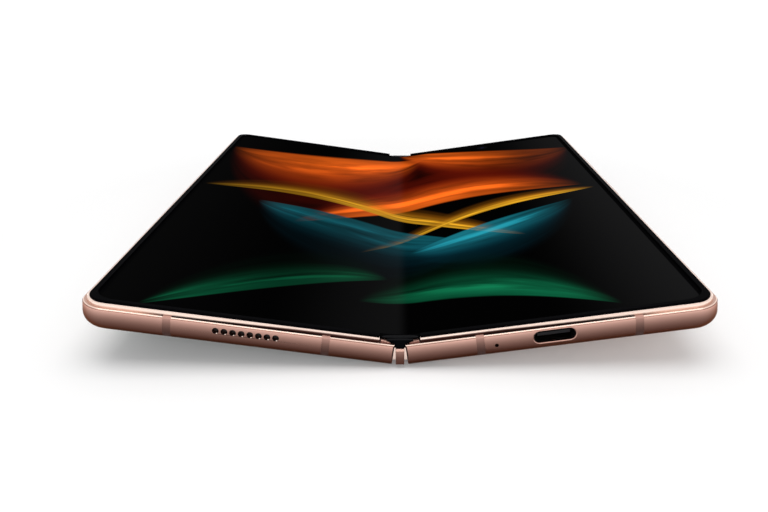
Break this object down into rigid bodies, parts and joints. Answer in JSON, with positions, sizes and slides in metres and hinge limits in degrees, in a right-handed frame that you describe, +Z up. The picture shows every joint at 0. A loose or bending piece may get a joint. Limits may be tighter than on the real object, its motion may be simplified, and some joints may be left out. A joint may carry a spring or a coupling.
{
  "type": "foldable smartphone",
  "caption": "Book-style folding phone in a shallow V: two thin halves on a geared double hinge in a spine, wide inner display, cover display and rear camera housing outside.",
  "frame": {"origin": "middle of the underside, at the lowest edges of the resting V, midway along the hinge", "axes": "X across the fold with the camera half at +X, Y along the hinge with the connector end at -Y, Z up from the underside to the inner display"},
  "size_m": [0.1283, 0.1592, 0.0151],
  "materials": {
    "satin_bronze": "satin anodised bronze",
    "polished_spine": "polished bronze",
    "polished_copper": "mirror-polished copper tone",
    "soft_black": "matt black",
    "gloss_black": "gloss black",
    "display_black": "gloss display",
    "steel": "brushed",
    "copper_ribbon": "polyimide film",
    "antenna_plastic": "satin plastic in the frame colour",
    "frosted_glass": "frosted bronze glass",
    "dark_glass": "dark tinted glass",
    "cover_glass": "gloss black glass",
    "flash_lens": "ribbed lens",
    "circuit_board": "solder mask",
    "battery_pouch": "pouch foil"
  },
  "bodies": {
    "spine": {"hinge_cover": "polished_spine", "hinge_end_caps": "satin_bronze", "tee_caps": "soft_black", "guide_brackets": "steel", "gear_bracket": "steel", "bracket_screws": "steel", "display_fold": "display_black", "flex_ribbons": "copper_ribbon"},
    "right_half": {"right_frame": "satin_bronze", "right_bezel": "gloss_black", "right_display": "display_black", "right_support_plate": "steel", "right_tongues": "steel", "right_hinge_screws": "steel", "right_antenna_bands": "antenna_plastic", "right_battery": "battery_pouch", "right_magnets": "steel", "back_glass": "frosted_glass", "camera_rim": "polished_copper", "camera_glass": "dark_glass", "lens_rings": "polished_copper", "lens_modules": "soft_black", "flash": "flash_lens", "inner_camera": "soft_black", "usb_shell": "steel", "usb_tongue": "soft_black", "main_board": "circuit_board", "charging_coil": "copper_ribbon", "microphone": "steel", "key_switches": "steel"},
    "left_half": {"left_frame": "satin_bronze", "left_bezel": "gloss_black", "left_display": "display_black", "left_support_plate": "steel", "left_tongues": "steel", "left_hinge_screws": "steel", "left_antenna_bands": "antenna_plastic", "left_battery": "battery_pouch", "left_magnets": "steel", "cover_glass": "cover_glass", "cover_display": "display_black", "cover_camera": "soft_black", "speaker_box": "soft_black", "top_speaker": "soft_black", "vibration_motor": "steel", "sub_board": "circuit_board", "tray_cage": "steel"},
    "power_key": {"power_key": "satin_bronze"},
    "volume_key": {"volume_key": "satin_bronze"},
    "sim_tray": {"sim_tray": "satin_bronze"},
    "right_pinion": {"right_pinion": "steel"},
    "right_mid_gear": {"right_mid_gear": "steel"},
    "right_inner_gear": {"right_inner_gear": "steel"},
    "left_inner_gear": {"left_inner_gear": "steel"},
    "left_mid_gear": {"left_mid_gear": "steel"},
    "left_pinion": {"left_pinion": "steel"}
  },
  "joints": [
    {"name": "right_fold", "type": "hinge", "parent": "spine", "child": "right_half", "pos_m": [0.0024, 0, 0.0061], "axis": [0, -1, 0], "range_deg": [-8, 83.6], "deforming": ["display_fold", "flex_ribbons"]},
    {"name": "left_fold", "type": "hinge", "parent": "spine", "child": "left_half", "pos_m": [-0.0024, 0, 0.0061], "axis": [0, 1, 0], "range_deg": [-8, 83.6]},
    {"name": "power_key_press", "type": "slide", "parent": "right_half", "child": "power_key", "axis": [-0.9903, 0, -0.1392], "range_m": [0, 0.0003], "stiffness_N_per_m": 4000},
    {"name": "volume_key_rock", "type": "hinge", "parent": "right_half", "child": "volume_key", "pos_m": [0.06202, 0.035, 0.01231], "axis": [-0.1392, 0, 0.9903], "range_deg": [-1.2, 1.2], "stiffness_Nm_per_rad": 0.8},
    {"name": "sim_tray_slide", "type": "slide", "parent": "left_half", "child": "sim_tray", "axis": [-0.9903, 0, 0.1392], "range_m": [0, 0.018]},
    {"name": "right_pinion_turn", "type": "hinge", "parent": "spine", "child": "right_pinion", "pos_m": [0.004, 0, 0.00431], "axis": [0, -1, 0], "range_deg": [-32, 334.4]},
    {"name": "right_mid_gear_turn", "type": "hinge", "parent": "spine", "child": "right_mid_gear", "pos_m": [0.0024, 0, 0.00431], "axis": [0, -1, 0], "range_deg": [-334.4, 32]},
    {"name": "right_inner_gear_turn", "type": "hinge", "parent": "spine", "child": "right_inner_gear", "pos_m": [0.0008, 0, 0.00431], "axis": [0, -1, 0], "range_deg": [-32, 334.4]},
    {"name": "left_inner_gear_turn", "type": "hinge", "parent": "spine", "child": "left_inner_gear", "pos_m": [-0.0008, 0, 0.00431], "axis": [0, -1, 0], "range_deg": [-334.4, 32]},
    {"name": "left_mid_gear_turn", "type": "hinge", "parent": "spine", "child": "left_mid_gear", "pos_m": [-0.0024, 0, 0.00431], "axis": [0, -1, 0], "range_deg": [-32, 334.4]},
    {"name": "left_pinion_turn", "type": "hinge", "parent": "spine", "child": "left_pinion", "pos_m": [-0.004, 0, 0.00431], "axis": [0, -1, 0], "range_deg": [-334.4, 32]}
  ],
  "couplings": [
    {"joint": "left_fold", "follows": "right_fold", "ratio": 1},
    {"joint": "right_pinion_turn", "follows": "right_fold", "ratio": 4},
    {"joint": "right_mid_gear_turn", "follows": "right_fold", "ratio": -4},
    {"joint": "right_inner_gear_turn", "follows": "right_fold", "ratio": 4},
    {"joint": "left_inner_gear_turn", "follows": "right_fold", "ratio": -4},
    {"joint": "left_mid_gear_turn", "follows": "right_fold", "ratio": 4},
    {"joint": "left_pinion_turn", "follows": "right_fold", "ratio": -4}
  ]
}
